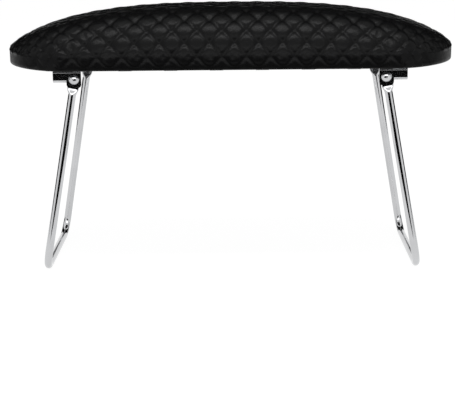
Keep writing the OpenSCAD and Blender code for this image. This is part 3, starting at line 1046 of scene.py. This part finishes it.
@dataclass
class WireLeg:
    """A leg: one wire from eye to eye, bent round at the foot and flattened at its ends.

    Args:
        side: the end of the pad that it folds under.
        pin: where its hinge's axis crosses the middle of the pad.
        rod: radius of the wire.
        reach: length from the pin to the middle of the foot bar.
        lean: lean away from upright, in degrees.
        foot: half the width at the foot, to the middle of the wire.
        bend: radius of the foot bends, to the middle of the wire.
        eye_place: distance of an eye's middle from the middle of the pad.
        eye_half: half the width and half the thickness of an eye.
        eye_length: length of an eye below the pin.
        eye_power: power of the eye's cross-section, where 2 is round and more is squarer.
        swell: length over which the eye turns into the round wire.
        hole: radius of the eye's hole.
        around: steps round the wire.
    """

    side: Side
    pin: Vector
    rod: float = 3.0 * MM
    reach: float = 150.5 * MM
    lean: float = 10.0
    foot: float = 58.0 * MM
    bend: float = 14.0 * MM
    eye_place: float = 47.2 * MM
    eye_half: tuple[float, float] = (4.4 * MM, 1.5 * MM)
    eye_length: float = 7.4 * MM
    eye_power: float = 7.0
    swell: float = 5.4 * MM
    hole: float = 2.05 * MM
    around: int = 40

    def half_path(self) -> tuple[Array, Array]:
        """The wire's middle from the top of an eye to the middle of the foot bar.

        Returns:
            Places as distance out from the middle and height above the pin, and how far each
            lies below the pin along the wire.
        """
        width = self.eye_half[0]
        top = [(self.eye_place, width * math.sin(math.radians(angle))) for angle in range(88, 0, -8)]
        start = np.array([self.eye_place, -self.eye_length])
        corner = np.array([self.foot, -self.reach])
        down = (corner - start) / np.linalg.norm(corner - start)
        across = np.array([-1.0, 0.0])
        turn = math.acos(float(down @ across))
        run = self.bend * math.tan(turn / 2)
        upright = [(self.eye_place, -self.eye_length * share) for share in np.linspace(0.0, 1.0, 7)]
        length = float(np.linalg.norm(corner - start)) - run
        # Close together where the eye turns into the wire
        steps = [*np.linspace(0.4 * MM, 6.0 * MM, 15), *np.linspace(12.0 * MM, length, 12)]
        rod = [tuple(start + down * along) for along in steps]
        inward = np.array([down[1], -down[0]])
        centre = corner - down * run + inward * self.bend
        arm = -inward * self.bend
        bend = []
        for angle in np.linspace(0.0, -turn, 19)[1:]:
            cos, sin = math.cos(angle), math.sin(angle)
            bend.append((centre[0] + cos * arm[0] - sin * arm[1], centre[1] + sin * arm[0] + cos * arm[1]))
        bar = [(out, -self.reach) for out in np.linspace(bend[-1][0], 0.0, 6)[1:]]
        places = np.array(top + upright + rod + bend + bar)
        return places, -places[:, 1]

    def section(self, below: Array) -> tuple[Array, Array, Array]:
        """The wire's section, from a flat eye to a round wire.

        Args:
            below: how far each ring lies below the pin.

        Returns:
            Half width, half thickness and power for each ring.
        """
        ease = smooth_step((below - self.eye_length) / self.swell)
        wide = self.eye_half[0] + (self.rod - self.eye_half[0]) * ease
        round_top = np.sqrt(np.clip(self.eye_half[0] ** 2 - np.minimum(below, 0.0) ** 2, 1e-12, None))
        wide = np.where(below < 0, round_top, wide)
        thick = self.eye_half[1] + (self.rod - self.eye_half[1]) * ease
        return wide, thick, self.eye_power + (2.0 - self.eye_power) * np.sqrt(ease)

    def build(self, material: bpy.types.Material) -> bpy.types.Object:
        """Lofts the wire, drills its eyes and hangs it from its pins.

        Args:
            material: the wire's finish.

        Returns:
            The leg.
        """
        half, below = self.half_path()
        path = np.concatenate([half, (half * [-1.0, 1.0])[::-1][1:]])
        below = np.concatenate([below, below[::-1][1:]])
        ahead = np.gradient(path, axis=0)
        ahead /= np.linalg.norm(ahead, axis=1, keepdims=True)
        out = np.stack([-ahead[:, 1], ahead[:, 0]], axis=1)
        wide, thick, section_power = self.section(below)
        angle = 2 * np.pi * (np.arange(self.around) + 0.5) / self.around
        cos, sin = np.cos(angle), np.sin(angle)
        power = (2 / section_power)[:, None]
        flat = np.sign(cos) * np.abs(cos) ** power * wide[:, None]
        deep = np.sign(sin) * np.abs(sin) ** power * thick[:, None]
        local = np.stack(
            [flat, path[:, :1] + deep * out[:, :1], path[:, 1:] + deep * out[:, 1:]], axis=-1
        ).reshape(-1, 3)
        turn = math.radians(self.lean) * (1 if self.side is Side.RIGHT else -1)
        swung = np.stack(
            [
                local[:, 0] * math.cos(turn) - local[:, 2] * math.sin(turn) + self.pin.x,
                local[:, 1],
                local[:, 0] * math.sin(turn) + local[:, 2] * math.cos(turn) + self.pin.z,
            ],
            axis=1,
        )
        made = new_mesh(f"wire_leg_{self.side.value}", swung, tube_faces(len(path), self.around))
        self.drill(made)
        made.data.materials.clear()
        made.data.materials.append(material)
        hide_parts(f"leg_{self.side.value}")
        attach(made, f"{self.side.value}_leg")
        log.info("%s: %d faces", made.name, len(made.data.polygons))
        return made

    def drill(self, leg: bpy.types.Object) -> None:
        """Cuts the holes of both eyes, and keeps their rims sharp.

        Args:
            leg: the leg to drill.
        """
        # Long enough to pass through both eyes
        through = 0.2
        bpy.context.view_layer.update()
        bar = bmesh.new()
        bmesh.ops.create_cone(
            bar, cap_ends=True, segments=48, radius1=self.hole, radius2=self.hole, depth=through,
            matrix=Matrix.Translation((self.pin.x, 0.0, self.pin.z)) @ Matrix.Rotation(math.pi / 2, 4, "X"),
        )
        mesh = bpy.data.meshes.new("drill")
        bar.to_mesh(mesh)
        bar.free()
        tool = bpy.data.objects.new("drill", mesh)
        bpy.context.scene.collection.objects.link(tool)
        cut = leg.modifiers.new("drill", "BOOLEAN")
        cut.operation, cut.solver, cut.object = "DIFFERENCE", "EXACT", tool
        finished = bpy.data.meshes.new_from_object(leg.evaluated_get(bpy.context.evaluated_depsgraph_get()))
        leg.modifiers.clear()
        leg.data = finished
        bpy.data.objects.remove(tool)
        finished.polygons.foreach_set("use_smooth", [True] * len(finished.polygons))
        finished.set_sharp_from_angle(angle=math.radians(50.0))


@dataclass
class Hardware:
    """The legs and the fixings: brackets, pins, washers, screws and staples.

    Args:
        leg_finish: the legs' chrome.
        sheet_finish: the brackets' chrome.
        pin_finish: the rivets' chrome.
        screw_finish: the screws' zinc.
        staple_finish: the staples' zinc.
        washer_finish: the washers' nylon.
    """

    leg_finish: Finish = field(default_factory=lambda: Chrome(title="chromed rod"))
    sheet_finish: Finish = field(
        default_factory=lambda: Chrome(roughness=0.1, marks=(0.08, 1.0, 1.0), title="chromed sheet")
    )
    pin_finish: Finish = field(
        default_factory=lambda: Chrome(roughness=0.06, marks=(1.0, 1.0, 1.0), title="chromed rivet")
    )
    screw_finish: Finish = field(default_factory=ZincPlate)
    staple_finish: Finish = field(
        default_factory=lambda: ZincPlate(roughness=0.38, title="galvanised wire")
    )
    washer_finish: Finish = field(default_factory=Nylon)

    def build(self) -> None:
        """Builds the legs, and dresses every bracket and fixing."""
        sheet, pin = self.sheet_finish.material(), self.pin_finish.material()
        screw, washer = self.screw_finish.material(), self.washer_finish.material()
        rod, staple = self.leg_finish.material(), self.staple_finish.material()
        for side in Side:
            WireLeg(side, hinge_place(side)).build(rod)
            for face in Face:
                corner = f"{side.value}_{face.value}"
                dress(f"bracket_{corner}", sheet)
                dress(f"hinge_pin_{corner}", pin)
                dress(f"screws_{corner}", screw)
                dress(f"friction_washer_{corner}", washer)
        dress("cover_staples", staple)
        dress("dust_cover_staples", staple)


@dataclass
class Filling:
    """What the cover hides or closes off: foam, board and lining.

    Args:
        foam: the foam's finish.
        board: the board's finish.
        lining: the lining's finish.
    """

    foam: Finish = field(default_factory=OpenFoam)
    board: Finish = field(default_factory=Fibreboard)
    lining: Finish = field(default_factory=FeltLining)

    def build(self) -> None:
        """Dresses the three nodes."""
        dress("foam_core", self.foam.material())
        dress("base_board", self.board.material())
        dress("dust_cover", self.lining.material())


# Studio


@dataclass(frozen=True)
class SoftLight:
    """A rectangular lamp that faces a point.

    Args:
        name: the lamp's name.
        place: where it stands, in metres.
        aim: what it faces.
        size: its width and height.
        power: its power in watts.
    """

    name: str
    place: tuple[float, float, float]
    aim: tuple[float, float, float]
    size: tuple[float, float]
    power: float

    def build(self) -> None:
        """Adds the lamp."""
        data = bpy.data.lights.new(self.name, "AREA")
        data.shape = "RECTANGLE"
        data.size, data.size_y = self.size
        data.energy = self.power
        lamp = bpy.data.objects.new(self.name, data)
        lamp.location = self.place
        lamp.rotation_mode = "QUATERNION"
        lamp.rotation_quaternion = (Vector(self.aim) - Vector(self.place)).to_track_quat("-Z", "Y")
        bpy.context.scene.collection.objects.link(lamp)


@dataclass
class Studio:
    """Camera, floor, white surround, dark flags and lamps.

    Args:
        eye: the camera's place, in millimetres.
        yaw: turn of the camera to the right, in radians.
        pitch: dip of the camera, in radians.
        roll: roll of the camera, in radians.
        focal: focal length, in pixels of the photograph.
        fill: strength of the surround in the object's light.
        floor_half: half the floor's width, in metres.
        floor_glow: the part of the floor's white that takes no shadow, for the eye and mirrors.
        floor_shade: the part of it that takes the object's shadow.
        flag_tone: how dark the flags are.
    """

    eye: tuple[float, float, float] = (7.786, -1028.459, 290.897)
    yaw: float = -0.011
    pitch: float = 0.242
    roll: float = -0.011
    focal: float = 1294.0
    fill: float = 0.42
    floor_half: float = 3.0
    floor_glow: float = 0.93
    floor_shade: float = 0.16
    flag_tone: float = 0.004

    def camera(self) -> None:
        """Stands the camera where the photograph was taken from."""
        ahead = math.cos(self.pitch)
        forward = Vector((math.sin(self.yaw) * ahead, math.cos(self.yaw) * ahead, -math.sin(self.pitch)))
        level = Vector((math.cos(self.yaw), -math.sin(self.yaw), 0.0))
        rise = level.cross(forward)
        cos, sin = math.cos(self.roll), math.sin(self.roll)
        right, up = cos * level + sin * rise, cos * rise - sin * level
        data = bpy.data.cameras.new("camera")
        data.sensor_fit = "HORIZONTAL"
        data.sensor_width = 36.0
        data.lens = self.focal * data.sensor_width / PHOTO_WIDTH
        data.clip_start, data.clip_end = 0.01, 50.0
        camera = bpy.data.objects.new("camera", data)
        turn = Matrix((right, up, -forward)).transposed().to_4x4()
        turn.translation = Vector(self.eye) * MM
        camera.matrix_world = turn
        bpy.context.scene.collection.objects.link(camera)
        bpy.context.scene.camera = camera

    def seen(self, graph: Graph) -> Value:
        """Share of the rays that show the surround: 1 for camera, glossy and transmission rays."""
        path = graph.node("ShaderNodeLightPath", output="Is Camera Ray")
        return path.at_least(path.sibling("Is Glossy Ray")).at_least(path.sibling("Is Transmission Ray"))

    def world(self) -> None:
        """Gives a surround that looks white, and lights the object more gently."""
        world = bpy.data.worlds.new("surround")
        bpy.context.scene.world = world
        world.use_nodes = True
        graph = Graph(world.node_tree)
        strength = self.seen(graph) * (1.0 - self.fill) + self.fill
        sky = graph.node("ShaderNodeBackground", {}, {"Color": (1.0, 1.0, 1.0), "Strength": strength})
        graph.node("ShaderNodeOutputWorld", {}, {"Surface": sky})

    def stage_sheet(
        self, name: str, points: Sequence[Sequence[float]], faces: Sequence[Sequence[int]]
    ) -> Graph:
        """Adds a sheet of the studio, which isn't part of the object.

        Args:
            name: its name, and its material's.
            points: its corners, in metres.
            faces: its faces.

        Returns:
            The nodes of its material.
        """
        made = new_mesh(name, np.array(points, float), faces, smooth=False)
        material = bpy.data.materials.new(name)
        material.use_nodes = True
        made.data.materials.append(material)
        return Graph(material.node_tree)

    def floor(self) -> None:
        """Lays a white floor that keeps the object's shadow, and is clear from below."""
        half = self.floor_half
        square = [(-half, -half, 0), (half, -half, 0), (half, half, 0), (-half, half, 0)]
        graph = self.stage_sheet("floor", square, [(0, 1, 2, 3)])
        speckle = graph.noise(graph.place(), 30.0)
        tone = graph.blend(speckle, (0.84, 0.84, 0.84), (0.86, 0.86, 0.86))
        paper = graph.node("ShaderNodeBsdfDiffuse", {}, {"Color": tone})
        shade = graph.node("ShaderNodeBsdfDiffuse", {}, {"Color": (self.floor_shade,) * 3})
        glow = graph.node(
            "ShaderNodeEmission", {}, {"Color": (1.0, 1.0, 1.0), "Strength": self.floor_glow}
        )
        shown = graph.node("ShaderNodeAddShader", {}, {0: shade, 1: glow})
        lit = graph.node("ShaderNodeMixShader", {}, {"Fac": self.seen(graph), 1: paper, 2: shown})
        below = graph.node("ShaderNodeNewGeometry", output="Backfacing")
        through = graph.node("ShaderNodeBsdfTransparent")
        both = graph.node("ShaderNodeMixShader", {}, {"Fac": below, 1: lit, 2: through})
        graph.node("ShaderNodeOutputMaterial", {}, {"Surface": both})

    def flag(self, name: str, points: Sequence[Sequence[float]], faces: Sequence[Sequence[int]]) -> None:
        """Adds a dark sheet that only mirrors see.

        Args:
            name: its name.
            points: its corners, in metres.
            faces: its faces.
        """
        graph = self.stage_sheet(name, points, faces)
        cloth = graph.node("ShaderNodeBsdfDiffuse", {}, {"Color": (self.flag_tone,) * 3})
        graph.node("ShaderNodeOutputMaterial", {}, {"Surface": cloth})
        made = bpy.data.objects[name]
        made.visible_camera = made.visible_diffuse = made.visible_shadow = False

    def flags(self) -> None:
        """Adds the dark of the room, out of the camera's sight, that the metal and the cover mirror.

        The front rods and the brackets mirror the floor and the dark round the camera. The top
        of the cover mirrors the dark behind, and its ends mirror the dark on either side.
        """
        on_floor, low = 0.002, 0.3
        near, far, narrow, wide = -0.3, -1.25, 0.21, 0.66
        front = [
            (-narrow, near, on_floor), (narrow, near, on_floor), (wide, far, on_floor),
            (-wide, far, on_floor), (wide, far, low), (-wide, far, low),
        ]
        self.flag("front_flag", front, [(0, 1, 2, 3), (3, 2, 4, 5)])
        reach, behind, high = 2.6, 1.0, 2.8
        rear = [(-reach, behind, low), (reach, behind, low), (reach, behind, high), (-reach, behind, high)]
        self.flag("rear_flag", rear, [(0, 1, 2, 3)])
        # An L on the floor, behind and beside the object, and a low strip that stands along it
        start, bend, edge, end, stand = 0.6, 1.15, 2.9, -0.2, 1.3
        flat = [(start, bend), (start, edge), (edge, edge), (edge, end), (bend, end), (bend, bend)]
        upright = [(start, stand), (stand, stand), (stand, end)]
        side = [(x, y, on_floor) for x, y in flat] + [(x, y, z) for x, y in upright for z in (0.0, low)]
        side_faces = [(0, 1, 2, 5), (5, 2, 3, 4), (6, 7, 9, 8), (8, 9, 11, 10)]
        self.flag("left_flag", [(-x, y, z) for x, y, z in side], side_faces)
        self.flag("right_flag", side, side_faces)

    def lamps(self) -> None:
        """Adds the soft lamps, which face the pad."""
        pad = (0.0, 0.0, 0.15)
        for lamp in (
            SoftLight("overhead_box", place=(0.0, -0.35, 1.2), aim=pad, size=(0.8, 0.22), power=6.0),
            SoftLight("front_box", place=(0.0, -1.35, 0.75), aim=pad, size=(1.6, 0.4), power=5.0),
        ):
            lamp.build()

    def build(self) -> None:
        """Adds it all and keeps colours as they are written."""
        self.camera()
        self.world()
        self.floor()
        self.flags()
        self.lamps()
        bpy.context.scene.view_settings.view_transform = "Standard"


def main() -> None:
    """Builds the studio and the object."""
    logging.basicConfig(level=logging.INFO, format="%(name)s: %(message)s")
    Studio().build()
    low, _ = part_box("leather_cover")
    cover = QuiltedCover(underside=low.z).build()
    log.info("%s: %d faces", cover.name, len(cover.data.polygons))
    Filling().build()
    Hardware().build()


if __name__ == "__main__":
    main()
